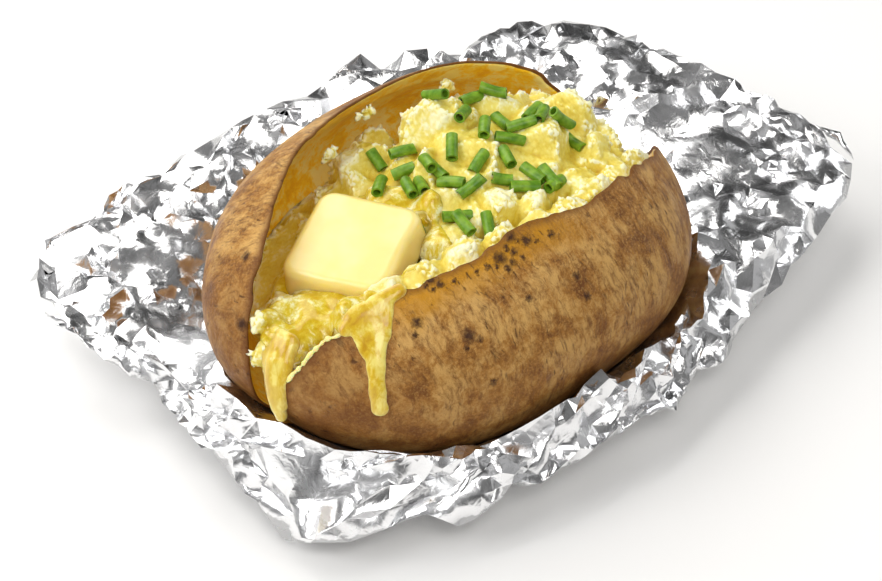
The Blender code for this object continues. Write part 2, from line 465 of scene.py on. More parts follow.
def crumple_round(bm, longest, share):
    """Halves some of the edges over a length, and pushes the new points off the surface."""
    old = set(bm.verts)
    chosen = []
    for edge in bm.edges:
        middle = (edge.verts[0].co + edge.verts[1].co) / 2
        over = edge.calc_length() > longest and middle.xy.length > UNFOLDED_BASE
        if over and crumple_rng.random() < chance_to_halve(middle, share):
            chosen.append(edge)
    bmesh.ops.subdivide_edges(bm, edges=chosen, cuts=1)
    bmesh.ops.triangulate(bm, faces=bm.faces, quad_method="SHORT_EDGE", ngon_method="BEAUTY")
    bm.normal_update()
    moves = []
    for vert in bm.verts:
        if vert not in old:
            room = room_for_folds(vert.co)
            push = FOIL_PUSH * longest * (0.25 + 0.75 * room)
            lift = vert.normal * crumple_rng.uniform(-1, 1) * push
            moves.append((vert, lift + random_way(crumple_rng) * push * SIDEWAYS * room))
    for vert, move in moves:
        vert.co += move


jitter_net(foil_bm)
calm = [vert for vert in foil_bm.verts if vert.co.xy.length > FLAT_BASE and not vert.is_boundary]
bmesh.ops.smooth_vert(foil_bm, verts=calm, factor=CALMING,
                      use_axis_x=False, use_axis_y=False, use_axis_z=True)
bmesh.ops.triangulate(foil_bm, faces=foil_bm.faces, quad_method="ALTERNATE")
for longest, share in FOIL_ROUNDS:
    crumple_round(foil_bm, longest, share)
for vert in foil_bm.verts:
    vert.co.z = max(vert.co.z, FOIL_LOWEST)
foil = as_object("crumpled_foil", foil_bm)
foil.data.shade_smooth()
foil.data.set_sharp_from_angle(angle=SHARP_CREASE)
thicken(foil, FOIL_THICK)

# %% [markdown]
# Foil is bright rolled metal. A patchy haze and a fine rumple keep it from being a mirror.

# %% Bright foil finish
look = Finish("bright_foil", Base_Color=(0.90, 0.90, 0.91, 1.0), Metallic=1.0)
smear = look.noise(0.10, 3.0, 0.6)
look.set("Roughness", look.span(smear, 0.3, 0.7, 0.16, 0.30))
look.relief(look.noise(0.30, 2.0, 0.5, warp=0.6), 0.30, 0.75)
dress(foil, look, "foil", "foil_wrapper")

# %% [markdown]
# ## The skin
#
# A potato is nearly an ellipsoid. The shape is worked out closed, and each half is then turned
# out about a hinge line low down inside it, which is how a real one opens when it is split and
# squeezed. A sphere whose poles point to the two sides has a ring of edges just where the
# knife goes, so the ring is parted above the hinge, and the formula moves every point.

# %% The potato's form
HALF_LENGTH = 0.0707
HALF_WIDTH = 0.0480
HALF_HEIGHT = 0.0373
SIDE_FULLNESS = 2.27
FAR_END_SWELL = 0.10
UNEVENNESS = 0.0011
UNEVEN_SCALE = 28.0
# Smaller dents: how many to a metre, and how deep they are beside the large ones.
DENTS = ((95, 0.16), (240, 0.07))
HINGE_RISE = 0.0162
BACK_OPENING = (0.604, 0.140, -0.391)
FRONT_OPENING = (0.636, 0.194, -0.098)


def closed_point(direction, inset=0.0):
    """Where a direction from the middle meets the closed potato, or a layer inside its skin."""
    round_x = math.hypot(direction.x, direction.z)
    full = round_x ** (2 / SIDE_FULLNESS - 1) if round_x > 1e-6 else 0.0
    x = (HALF_LENGTH - inset) * direction.x * full
    z = HALF_HEIGHT + (HALF_HEIGHT - inset) * direction.z * full
    side = math.copysign(abs(direction.y) ** (2 / SIDE_FULLNESS), direction.y)
    y = (HALF_WIDTH - inset) * side * (1 + FAR_END_SWELL * x / HALF_LENGTH)
    return Vector((x, y, z))


def opened_point(point, side):
    """The point once its half, +1 for the back and -1 for the front, has turned outwards."""
    along = point.x / HALF_LENGTH
    middle, slope, bow = BACK_OPENING if side > 0 else FRONT_OPENING
    turn = middle + slope * along + bow * along**2
    rise = point.z - HINGE_RISE
    reach = math.hypot(point.y, rise)
    angle = math.atan2(abs(point.y), -rise) * (1 - turn / math.pi)
    return Vector((point.x, side * reach * math.sin(angle), HINGE_RISE - reach * math.cos(angle)))


def split_sphere(around, across):
    """A unit sphere with poles on Y, parted along y = 0 above the hinge."""
    bm = bmesh.new()
    bmesh.ops.create_uvsphere(bm, u_segments=around, v_segments=across, radius=1.0)
    bmesh.ops.rotate(bm, verts=bm.verts, matrix=Matrix.Rotation(math.pi / 2, 3, "X"))
    middle = [e for e in bm.edges if all(abs(v.co.y) < 1e-6 for v in e.verts)]
    parted = [e for e in middle if any(closed_point(v.co).z > HINGE_RISE for v in e.verts)]
    bmesh.ops.split_edges(bm, edges=parted)
    return bm


print("closed potato:", round(2 * HALF_LENGTH / MM), "x", round(2 * HALF_WIDTH / MM), "mm")

# %% [markdown]
# A baked skin tears as it opens, so each lip wanders in waves, with a sharp notch here and
# there. The skin and the flesh that lines it are layers of one form at two depths, so one
# function makes both. It also stores how far each point is from the split, for the colours.

# %% Make the skin
SKIN_THICK = 0.0006
TORN_EDGE = math.radians(2.2)
TORN_FADE = math.radians(9)
NOTCH_DEPTH = 1.6
NOTCH_FROM = 0.25
AROUND = 320
ACROSS = 120


def split_wave(place, side, pitch, apart, start):
    """A noise along the split, which differs between its two sides."""
    return noise.noise(Vector((place.x * pitch, side * apart, start)))


def torn(place, side):
    """How far, as an angle, the split wanders off a straight cut. It is never quite straight."""
    wide = split_wave(place, side, 55, 9, 0) + 1.4 * split_wave(place, side, 24, 4, 6)
    fine = split_wave(place, side, 260, 5, 3)
    notch = abs(split_wave(place, side, 110, 7, 8))
    return TORN_EDGE * (0.4 + wide + 0.5 * fine + NOTCH_DEPTH * max(0.0, notch - NOTCH_FROM))


def potato_layer(inset, lowered=0.0):
    """One layer of the opened potato, at a depth. Its torn edge can be lowered by an angle."""
    bm = split_sphere(AROUND, ACROSS)
    up_from_split = bm.verts.layers.float.new("from_split")
    sides = [1 if sum(f.calc_center_median().y for f in v.link_faces) > 0 else -1 for v in bm.verts]
    for vert, side in zip(bm.verts, sides):
        way = vert.co.normalized()
        turn = math.asin(min(1.0, abs(way.y)))
        vert[up_from_split] = turn
        turn += (max(0.0, torn(way * HALF_LENGTH, side)) + lowered) * math.exp(-turn / TORN_FADE)
        flat = Vector((way.x, 0, way.z))
        flat = flat.normalized() if flat.length > 1e-6 else flat
        way = flat * math.cos(turn) + Vector((0, side * math.sin(turn), 0))
        place = opened_point(closed_point(way, inset), side)
        dents = sum(depth * noise.noise(place * scale) for scale, depth in DENTS)
        vert.co = place + way * UNEVENNESS * (noise.noise(place * UNEVEN_SCALE) + dents)
    bmesh.ops.recalc_face_normals(bm, faces=bm.faces)
    return bm


skin_bm = potato_layer(0.0)
resting = shell_base - min(vert.co.z for vert in skin_bm.verts)
bmesh.ops.translate(skin_bm, verts=skin_bm.verts, vec=(0, 0, resting))
skin = as_object("potato_skin", skin_bm)
skin.data.shade_smooth()
thicken(skin, SKIN_THICK)
skin_tree = surface_of(skin)
print("the skin was moved", round(resting / MM, 2), "mm to rest where the shell does")

# %% [markdown]
# A baked skin is tan and mottled, with painted shade that makes it browner low down. Butter has
# stained it dark gold under the split in front. Each of those is one layer over the ones before.

# %% Baked skin colours
TAN = (0.37, 0.165, 0.030)
LIGHT_TAN = (0.60, 0.350, 0.105)
BROWN = (0.145, 0.050, 0.009)
DARK_BROWN = (0.050, 0.016, 0.005)
BUTTERED = (0.52, 0.235, 0.004)
# Dark scabs on the front wall and the back one: place and radius, in millimetres.
SCABS = (
    (-14, -33.5, 66, 1.6), (-11, -36, 64.5, 1.7), (-4, -38.5, 63, 1.2), (-16, -36, 64, 1.3),
    (-20, -35, 64, 2.0), (-20, -37.5, 62, 1.2), (-37, -27, 64, 1.3), (-36, -29, 63, 1.2),
    (-46, -30, 58, 1.5), (-38, -39.5, 53.5, 1.9), (-20, -44, 56, 1.1), (-5, -47.5, 55, 1.3),
    (-5, -51, 50.5, 1.2), (-37, -46.5, 42, 1.1), (-67, 8, 51, 1.8), (-55, 17, 60, 1.5),
    (-13, -35, 65.2, 0.9), (-17, -34.5, 65, 1.0), (-18, -37.5, 62.8, 1.1), (-22, -35.5, 63, 0.8),
    (-15, -38, 62.5, 0.8), (-24, -34, 63.2, 0.9), (-27, -33, 63, 0.8), (-38, -28.5, 62.3, 0.9),
    (-33, -31, 63, 0.8), (-39, -27, 63.5, 0.8), (-36, -41, 52, 1.0), (-40, -40.5, 51.5, 0.8),
    (-48, -31, 56, 0.9), (-9, -37.5, 63.5, 0.8), (10, -40, 62, 0.9),
)
look = Finish("baked_skin", Specular_IOR_Level=0.20)
girth = look.vector("MULTIPLY", look.warped(5.0, 0.12), (1.0, 0.30, 0.30))
mottle = look.noise(0.085, 7.0, 0.74, at=look.warped(6.0, 0.10))
colour = look.ramp(mottle, (0.37, BROWN), (0.47, TAN), (0.57, LIGHT_TAN))
flakes = look.noise(0.55, 4.0, 0.72, at=girth)
colour = look.mix(look.span(flakes, 0.47, 0.64, 0.0, 0.80), colour, BROWN)
grain = look.noise(1.5, 4.0, 0.7)
colour = look.mix(look.span(grain, 0.48, 0.75, 0.0, 0.75), colour, LIGHT_TAN)
# The butter's stain: on the front, below the split, and only as far along as the butter ran.
front = look.span(look.coordinate("Y"), -16, -22)
side_x = look.coordinate("X")
reach = look.times(look.span(side_x, -54, -46), look.span(side_x, 12, -6))
edge_noise = look.noise(0.16, 3.0, 0.6)
wander = look.math("MULTIPLY_ADD", edge_noise, 0.30, look.attribute("from_split"))
stain = look.span(wander, 0.42, 0.22)
stain = look.times(look.times(stain, reach), front)
colour = look.mix(look.times(stain, 0.90), colour, BUTTERED)
# Painted shade: browner low down. Also browner at the near end, and in a thin line along the torn rim.
low = look.span(look.coordinate("Z"), 16, 62, 1.0, 0.0)
low = look.times(low, look.span(mottle, 0.35, 0.65, 0.80, 0.50))
colour = look.mix(low, colour, BROWN)
near_end = look.span(side_x, -50, -68)
colour = look.mix(look.times(near_end, 0.45), colour, BROWN)
rim = look.span(look.attribute("from_split"), 0.0, 0.055, 0.85, 0.0)
colour = look.mix(rim, colour, BROWN)
print("skin has", len(SCABS), "scabs")

# %% [markdown]
# The fine marks come last: a net of cracks, short dashes along the potato, and dark scabs
# where the heat caught it. A noise breaks up the scabs' edges. It also shifts them by about a
# millimetre, which is added to their places to make up for it.

# %% Cracks, dashes and scabs
SCAB_SHIFT = 1.1
netting = look.cell_walls(0.50, look.warped(2.4, 0.7))
net = look.times(look.span(netting, 0.0, 0.13, 1.0, 0.0),
                 look.span(look.noise(0.14, 3.0), 0.45, 0.68, 0.0, 0.55))
colour = look.mix(net, colour, BROWN)
dashes = look.span(look.noise(0.95, 2.5, 0.6, at=girth), 0.60, 0.70)
where = look.span(look.noise(0.09, 2.0), 0.42, 0.60, 0.15, 1.0)
dashes = look.times(dashes, where)
colour = look.mix(look.times(dashes, 0.80), colour, DARK_BROWN)
scabs = 0.0
edge = look.warped(2.2, 1.1)
for x, y, z, radius in SCABS:
    away = look.vector("DISTANCE", edge, (x + SCAB_SHIFT, y + SCAB_SHIFT, z + SCAB_SHIFT))
    spot = look.span(away, radius * 0.35, radius * 1.2, 1.0, 0.0)
    scabs = look.math("MAXIMUM", spot, scabs)
colour = look.mix(look.times(scabs, 0.93), colour, DARK_BROWN)
look.set("Base Color", colour)
rough = look.span(look.noise(0.12, 2.0), 0.3, 0.7, 0.42, 0.62)
look.set("Roughness", look.math("SUBTRACT", rough, look.times(stain, 0.18)))
look.relief(look.noise(0.42, 6.0, 0.70, at=girth), 0.75, 0.95)
look.relief(look.noise(1.6, 3.0, 0.6), 0.10, 0.8)
look.relief(dashes, -0.20, 0.9)
look.relief(look.times(scabs, grain), 0.8, 0.9)
dress(skin, look, "potato_skin", "potato_shell")

# %% [markdown]
# ## The flesh that clings to the skin
#
# When the flesh is fluffed with a fork, a layer stays stuck to the skin. It is soaked with
# butter, so it is glassy and golden. It thins out towards the torn edge.

# %% Make the lining
LINING_THICK = 0.0028
LINING_THINNEST = 0.16
LINING_FADE = math.radians(16)
LINING_LOWERED = math.radians(0.9)
lining_bm = potato_layer(SKIN_THICK * 0.6, LINING_LOWERED)
bmesh.ops.translate(lining_bm, verts=lining_bm.verts, vec=(0, 0, resting))
from_split = lining_bm.verts.layers.float["from_split"]
depths = [min(1.0, LINING_THINNEST + vert[from_split] / LINING_FADE) for vert in lining_bm.verts]
lining = as_object("clinging_flesh", lining_bm)
lining.data.shade_smooth()
thickness = lining.vertex_groups.new(name="thickness")
for index, depth in enumerate(depths):
    thickness.add([index], depth, "REPLACE")
thicken(lining, LINING_THICK).vertex_group = "thickness"

# %% [markdown]
# Its faint glow stands in for the light that comes through thin wet flesh.

# %% Golden lining finish
look = Finish("golden_flesh", Roughness=0.30, Specular_IOR_Level=0.3, Subsurface_Weight=0.15,
              Subsurface_Scale=0.002, Subsurface_Radius=(1.0, 0.55, 0.15), Coat_Weight=0.30,
              Coat_Roughness=0.10, Emission_Color=(1.0, 0.52, 0.04, 1.0), Emission_Strength=0.065)
streaks = look.noise(0.13, 5.0, 0.70, at=look.warped(7.0, 0.12))
gold = look.ramp(streaks, (0.36, (0.85, 0.44, 0.008)), (0.47, (0.97, 0.63, 0.030)),
                 (0.57, (1.0, 0.86, 0.34)))
look.set("Base Color", gold)
look.relief(look.noise(0.22, 4.0, 0.6), 0.9, 0.7)
dress(lining, look, "potato_flesh")

# %% [markdown]
# ## The fluffed flesh
#
# A fork breaks a floury potato into chunks, which are smooth where they split and ragged where
# they tore. Each chunk starts as a ball, is pushed about by noise, and then loses a few slices,
# which gives it flat faces and crisp edges. Smoother mash is in rounded dollops instead.

# %% Chunks
# Place, reach along, across and up, all in millimetres, then the turn in degrees.
CHUNKS = (
    (46, -17, 47, 12, 10, 9, 20), (48, -3, 53, 12, 10, 8, 60), (29, -11, 55, 16, 12, 10, 10),
    (36, -23, 53, 9, 8, 5, 35), (40, -21, 56, 8, 4, 4, 20), (17, 14, 57, 12, 11, 11, 30),
    (14, 0, 56, 12, 11, 9, 70), (-1, -8, 53, 11, 10, 9, 0), (2, -18, 54, 9, 7, 8, 50),
    (9, -24, 53, 8, 6, 8, 20), (23, -26, 54, 9, 7, 6, 0), (1, 26, 46, 13, 10, 10, 40),
    (-12, 29, 42, 8, 7, 6, 10), (13, 34, 44, 8, 6, 8, 20), (32, 9, 55, 12, 10, 10, 50),
    (-10, 9, 51, 9, 9, 6, 0), (-12, -14, 52, 9, 8, 5, 30), (30, 24, 48, 11, 9, 8, 0),
    (48, 8, 47, 10, 9, 8, 40), (57, -3, 43, 8, 8, 7, 10), (60, 5, 38, 6, 6, 7, 50),
    (62, -4, 33, 5, 6, 6, 80), (55, 9, 46, 7, 6, 6, 20), (56, -11, 41, 6, 7, 8, 35),
    (63, 1, 27, 4, 5, 5, 0),
)
# A smoother mash along the front wall, under the pat and out of the near end.
MASH = (
    (22, -32, 55, 8, 5, 6), (11, -33, 56, 7, 5, 6), (0, -31, 57, 7, 5, 6), (-11, -29, 58, 7, 5, 6),
    (-21, -25, 57, 7, 6, 7), (-31, -21, 55, 7, 6, 6), (-41, -17, 53, 7, 6, 7), (-49, -13, 50, 6, 6, 7),
    (-48, -2, 44, 11, 11, 8), (-58, -4, 43, 8, 7, 8), (-63, 0, 46, 4, 5, 6), (-66, -2, 40, 3.5, 4, 5),
    (-22, 20, 43, 9, 8, 7), (-40, 13, 42, 9, 8, 6), (-55, 5, 46, 6, 6, 6),
    (-61, 4, 49, 3.5, 3.5, 4), (-66, 0.5, 45, 3, 3, 4), (-64, 4.5, 51.5, 2.8, 2.4, 2.8),
    (-68.5, 2, 44.5, 2.2, 2, 2.8), (34, -31, 52, 8, 5, 6),
    (46, -28, 49, 7, 4, 6), (-30, 2, 44, 14, 14, 6),
    # Shreds left on the lining near its edge.
    (8, 32, 62, 3.2, 1.2, 1.7), (-10, 29.5, 59.5, 2.6, 1.2, 1.9), (36, 27, 58, 2.6, 1.4, 2.2),
)
flesh_rng = random.Random(23)
TOWARDS_NEAR_FRONT = Vector((-0.55, -0.45, 0.55))
CHUNK_ROUGHNESS = 0.34
DOLLOP_ROUGHNESS = 0.22
SLICES = 4
SLICE_DEPTHS = (0.58, 0.80)


def chunk(place, reach, turn):
    """A bmesh of one broken piece of flesh. The first slice leaves a face to the near front."""
    bm = bmesh.new()
    bmesh.ops.create_icosphere(bm, subdivisions=4, radius=1.0)
    seed = place * 900
    for vert in bm.verts:
        rough = abs(noise.noise(vert.co * 1.2 + seed)) - 0.2 + 0.25 * noise.noise(vert.co * 3.0 + seed)
        vert.co *= 1.0 + CHUNK_ROUGHNESS * rough
    bmesh.ops.scale(bm, verts=bm.verts, vec=reach)
    bmesh.ops.rotate(bm, verts=bm.verts, matrix=Matrix.Rotation(math.radians(turn), 3, "Z"))
    for number in range(SLICES):
        way = random_way(flesh_rng)
        if number == 0:
            way = TOWARDS_NEAR_FRONT + way * 0.45
        else:
            way = Vector((way.x, way.y, abs(way.z) * 0.5))
        way.normalize()
        depth = math.sqrt(sum((way[i] * reach[i]) ** 2 for i in range(3)))
        cut = bmesh.ops.bisect_plane(bm, geom=bm.verts[:] + bm.edges[:] + bm.faces[:],
                                     plane_co=way * depth * flesh_rng.uniform(*SLICE_DEPTHS),
                                     plane_no=way, clear_outer=True)
        rim = [item for item in cut["geom_cut"] if isinstance(item, bmesh.types.BMEdge)]
        bmesh.ops.holes_fill(bm, edges=rim, sides=0)
    bmesh.ops.translate(bm, verts=bm.verts, vec=place)
    return bm


def dollop(place, reach):
    """A bmesh of a soft rounded lump."""
    bm = bmesh.new()
    bmesh.ops.create_icosphere(bm, subdivisions=4, radius=1.0)
    for vert in bm.verts:
        vert.co *= 1.0 + DOLLOP_ROUGHNESS * noise.noise(vert.co * 1.8 + place * 700)
    bmesh.ops.scale(bm, verts=bm.verts, vec=reach)
    bmesh.ops.translate(bm, verts=bm.verts, vec=place)
    return bm


print(len(CHUNKS), "chunks and", len(MASH), "dollops to heap up")

# %% [markdown]
# The heap's core is the frame's own solid, shrunk a little so that the chunks stand out of it.
# All of it is melted into one skin.

# %% Heap them on a core
CORE_SHRINK = 0.0032
FLESH_VOXEL = 0.00056
flesh_bm = shape_of(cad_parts["fluffy_flesh"])
bmesh.ops.remove_doubles(flesh_bm, verts=flesh_bm.verts, dist=1e-6)
flesh_bm.normal_update()
for vert in flesh_bm.verts:
    vert.co -= vert.normal * CORE_SHRINK
for *place, long, wide, tall, turn in CHUNKS:
    add_to(flesh_bm, chunk(Vector(place) * MM, Vector((long, wide, tall)) * MM, turn))
for *place, long, wide, tall in MASH:
    add_to(flesh_bm, dollop(Vector(place) * MM, Vector((long, wide, tall)) * MM))
flesh = as_object("fluffed_flesh", flesh_bm)
remeshed(flesh, FLESH_VOXEL)
print("heap has", len(flesh.data.vertices), "points")

# %% [markdown]
# Most of the core faces the wall of the skin from close by, where nobody sees it. There the fine
# faces are joined into large flat ones, which leaves the points for the side that shows.

# %% Thin out the hidden side
HIDDEN_REACH = 0.016
HIDDEN_BELOW = 0.051
HIDDEN_ANGLE = math.radians(25)


def faces_the_wall(vert):
    """True where the flesh looks straight at the skin from close by, and low down."""
    hit, _, _, _ = skin_tree.ray_cast(vert.co, vert.normal, HIDDEN_REACH)
    return hit is not None and vert.co.z < HIDDEN_BELOW


bm = shape_of(flesh)
bm.normal_update()
hidden = {vert for vert in bm.verts if faces_the_wall(vert)}
hidden_edges = [edge for edge in bm.edges if hidden.issuperset(edge.verts)]
bmesh.ops.dissolve_limit(bm, angle_limit=HIDDEN_ANGLE, verts=list(hidden), edges=hidden_edges)
bmesh.ops.triangulate(bm, faces=[face for face in bm.faces if len(face.verts) > 4])
bm.to_mesh(flesh.data)
bm.free()
print("the heap keeps", len(flesh.data.vertices), "points")

# %% [markdown]
# Flesh is ragged along its ridges, and smooth in its dips and where butter soaked in. How far
# a point stands out is found by comparing it with a softened copy: a few softenings find the
# small ridges, and many find the broad ones. Such values also paint shade into its dips.

# %% Make it crumbly
PAT_PLACE = Vector((-0.0303, 0.0034, 0.0526))
# For each kind of ridge: the softenings to compare with, and how far out a full ridge stands.
TORN_RIDGES = (26, 0.0011)
FINE_RIDGES = (6, 0.0005)
BROAD_RIDGES = (90, 0.0030)
# How many grains there are to a metre, and how high they stand.
COARSE_GRAIN = (430, 0.0015)
FINE_GRAIN = (950, 0.0010)
GRAIN_DRIFT = (300, 0.0009)
# Where the butter soaked in, round the pat and at the near end.
SOAKED_REACH = Vector((0.031, 0.024))
RUN_PLACE = Vector((-0.054, -0.006))
RUN_REACH = Vector((0.017, 0.016))


def proudness(bm, times, full):
    """How far each point stands out of its softened surroundings: 0 in a dip, 1 on a ridge."""
    smooth = bm.copy()
    soften(smooth, times)
    smooth.verts.ensure_lookup_table()
    bm.normal_update()
    proud = [(v.co - smooth.verts[v.index].co).dot(v.normal) / full for v in bm.verts]
    smooth.free()
    return [kept_in(0.5 + 0.5 * value) for value in proud]


def grain_relief(place, pitch, height):
    """The relief of one size of grain, half of it above the surface and half below."""
    near, far = noise.voronoi(place * pitch)[0][:2]
    return height * (min(1.0, 2.2 * (far - near)) - 0.5)


def grains(place):
    """Relief of torn flesh: sharp little grains of two sizes, on a slower rise and fall."""
    pitch, height = GRAIN_DRIFT
    drift = height * noise.noise(place * pitch)
    coarse = grain_relief(place, *COARSE_GRAIN)
    return coarse + grain_relief(place, *FINE_GRAIN) + drift


def wetness(place):
    """1 where melted butter has soaked in round the pat and run to the near end."""
    away = place - PAT_PLACE
    flat = math.hypot(away.x / SOAKED_REACH.x, away.y / SOAKED_REACH.y)
    run = math.hypot((place.x - RUN_PLACE.x) / RUN_REACH.x, (place.y - RUN_PLACE.y) / RUN_REACH.y)
    return kept_in(3.2 * (1.0 - min(flat, run) + 0.35 * noise.noise(place * 90)))


bm = shape_of(flesh)
convex = proudness(bm, *TORN_RIDGES)
wet = [wetness(vert.co) for vert in bm.verts]
for vert, proud, soaked in zip(bm.verts, convex, wet):
    ragged = kept_in((proud - 0.56 + 0.12 * noise.noise(vert.co * 120)) * 4.0)
    vert.co += vert.normal * grains(vert.co) * (0.13 + 0.87 * ragged) * (1.0 - 0.7 * soaked)
fine = bm.verts.layers.float.new("fine_ridge")
broad = bm.verts.layers.float.new("broad_ridge")
soak = bm.verts.layers.float.new("soaked")
fine_values = proudness(bm, *FINE_RIDGES)
broad_values = proudness(bm, *BROAD_RIDGES)
for vert, fine_value, broad_value, soaked in zip(bm.verts, fine_values, broad_values, wet):
    vert[fine] = fine_value
    vert[broad] = broad_value
    vert[soak] = soaked
bm.to_mesh(flesh.data)
flesh_core = bm.copy()
bm.free()
flesh.data.shade_smooth()
flesh_tree = surface_of(flesh)
print(sum(value > 0.5 for value in wet), "points are soaked with butter")

# %% [markdown]
# Flesh is pale cream on its ridges and deep yellow in its dips. The deep yellow is partly butter
# that ran into the dips and partly painted shade. Soaked flesh also shines.

# %% Fluffed flesh finish
look = Finish("fluffed_flesh", Subsurface_Weight=0.4, Subsurface_Scale=0.0016,
              Subsurface_Radius=(1.0, 0.9, 0.35))
blotch = look.noise(0.11, 3.0, 0.6)
# Painted shade: points that stand out less get a deeper, darker yellow, partly for the butter that ran
# into the dips.
fine_part = look.times(look.attribute("fine_ridge"), 0.42)
dip_shade_and_blotch = look.math("MULTIPLY_ADD", look.attribute("broad_ridge"), 0.58, fine_part)
dip_shade_and_blotch = look.math("ADD", dip_shade_and_blotch, look.span(blotch, 0.3, 0.7, -0.12, 0.12))
cream = look.ramp(dip_shade_and_blotch, (0.24, (0.58, 0.35, 0.008)), (0.42, (0.73, 0.56, 0.050)),
                  (0.54, (0.82, 0.70, 0.15)), (0.66, (0.95, 0.92, 0.60)))
soaked = look.attribute("soaked")
# The soaked flesh takes the same painted shade in its dips.
golden = look.ramp(dip_shade_and_blotch, (0.25, (0.62, 0.42, 0.03)), (0.50, (0.76, 0.61, 0.12)),
                   (0.75, (0.93, 0.87, 0.48)))
look.set("Base Color", look.mix(look.times(soaked, 0.85), cream, golden))
look.set("Roughness", look.span(soaked, 0.0, 1.0, 0.42, 0.12))
look.relief(look.noise(0.6, 5.0, 0.75), 0.60, 0.85)
dress(flesh, look, "potato_flesh", "fluffy_flesh")

# %% [markdown]
# ## The butter
#
# The pat has been on hot potato for a minute: its edges are round, and it has sunk in a little.

# %% The butter pat
PAT_SIZE = Vector((0.0292, 0.0288, 0.0106))
PAT_TURNS = (math.radians(17), math.radians(-12), math.radians(-4))
PAT_CORNER = 0.0046
PAT_ROUNDING = 0.0023
PAT_FLARE = 0.0014
PAT_DENTS = 0.0004
LONG_EDGE = 0.004
pat_bm = bmesh.new()
bmesh.ops.create_cube(pat_bm, size=1.0)
bmesh.ops.scale(pat_bm, verts=pat_bm.verts, vec=PAT_SIZE)
upright = [edge for edge in pat_bm.edges if rise_of(edge) > PAT_SIZE.z / 2]
bmesh.ops.bevel(pat_bm, geom=upright, offset=PAT_CORNER, segments=6, profile=0.5,
                affect="EDGES", material=-1)
rims = [edge for edge in pat_bm.edges if rise_of(edge) < 1e-6]
bmesh.ops.bevel(pat_bm, geom=rims, offset=PAT_ROUNDING, segments=5, profile=0.5,
                affect="EDGES", material=-1)
long_edges = [e for e in pat_bm.edges if e.calc_length() > LONG_EDGE]
bmesh.ops.subdivide_edges(pat_bm, edges=long_edges, cuts=7, use_grid_fill=True)
bmesh.ops.triangulate(pat_bm, faces=[face for face in pat_bm.faces if len(face.verts) > 4])
for vert in pat_bm.verts:
    sunk = max(0.0, 0.4 - vert.co.z / PAT_SIZE.z)
    vert.co += Vector((vert.co.x, vert.co.y, 0)).normalized() * PAT_FLARE * sunk**2
    vert.co += vert.co.normalized() * PAT_DENTS * noise.noise(vert.co * 120)
yaw, pitch, roll = PAT_TURNS
pat_pose = Matrix.Rotation(yaw, 3, "Z") @ Matrix.Rotation(pitch, 3, "Y") @ Matrix.Rotation(roll, 3, "X")
bmesh.ops.rotate(pat_bm, verts=pat_bm.verts, matrix=pat_pose)
bmesh.ops.translate(pat_bm, verts=pat_bm.verts, vec=PAT_PLACE)
pat = as_object("butter_slice", pat_bm)
pat.data.shade_smooth()

# %% [markdown]
# Butter lets light in deep, so it has no dark side. The wet coat is where it starts to melt.

# %% Butter finish
look = Finish("butter", Roughness=0.32, Subsurface_Weight=0.7, Subsurface_Scale=0.007,
              Subsurface_Radius=(1.0, 0.8, 0.35), Coat_Weight=0.35, Coat_Roughness=0.2)
soft = look.noise(0.09, 2.0, 0.5)
yellow = look.ramp(soft, (0.35, (0.82, 0.65, 0.20)), (0.65, (0.85, 0.70, 0.28)))
look.set("Base Color", yellow)
look.relief(look.noise(0.25, 2.0), 0.15, 0.5)
dress(pat, look, "butter", "butter_pat")

# %% [markdown]
# ## Melted butter
#
# Melted butter is a yellow film over the mash round the pat, which fills its dips. So the film
# is the surface of the mash, made smoother, lifted a little, and cut off where it is dry.

# %% The film over the mash
FILM_LIFT = 0.00035
FILM_THICK = 0.0006
FILM_SOFTENING = 10
SOAKED_ENOUGH = 0.55
STEEPEST = 0.05
film_bm = flesh_core
soak = film_bm.verts.layers.float["soaked"]
dry = [face for face in film_bm.faces
       if min(vert[soak] for vert in face.verts) < SOAKED_ENOUGH or face.normal.z < STEEPEST]
bmesh.ops.delete(film_bm, geom=dry, context="FACES")
soften(film_bm, FILM_SOFTENING)
film_bm.normal_update()
# The film's own edge is tucked down into the flesh.
for vert in film_bm.verts:
    fade = kept_in((vert[soak] - 0.62) * 5, low=-0.6)
    vert.co += vert.normal * FILM_LIFT * fade
film = as_object("butter_film", film_bm)
film.data.shade_smooth()
thicken(film, FILM_THICK)
look = Finish("melted_film", Roughness=0.16, Specular_IOR_Level=0.3, Subsurface_Weight=0.5,
              Subsurface_Scale=0.002, Subsurface_Radius=(1.0, 0.8, 0.3), Coat_Weight=0.3,
              Coat_Roughness=0.05)
milk = look.noise(0.22, 5.0, 0.72, at=look.warped(5.0, 0.14))
swirls = look.ramp(milk, (0.40, (0.56, 0.37, 0.010)), (0.51, (0.68, 0.52, 0.05)),
                   (0.62, (0.90, 0.84, 0.46)))
look.set("Base Color", swirls)
look.relief(look.noise(0.5, 3.0, 0.6), 0.25, 0.6)
dress(film, look, "butter")

# %% [markdown]
# Butter spills over the torn lip in two places. In front it clings to the skin as a curtain,
# with courses in between that fill it. At the near end it comes out of the split and runs down.
# Each course is a row of flattened beads, melted together and softened.

# %% Streams of melted butter
# Points on each course, in millimetres, with the bead's half-width there.
CURTAIN = (
    (-44, -23, 63, 2.0), (-50, -20.8, 61.6, 2.6), (-54, -19, 60, 2.8), (-58, -17, 57.8, 2.2),
    (-53, -21.5, 59, 3.4), (-54, -24, 57, 3.4), (-56, -25.5, 54, 3.0), (-58, -27.3, 50, 2.5),
    (-59.5, -28.8, 46, 2.3), (-60.5, -30, 42.5, 2.3), (-60.8, -30.8, 40.4, 2.7),
)
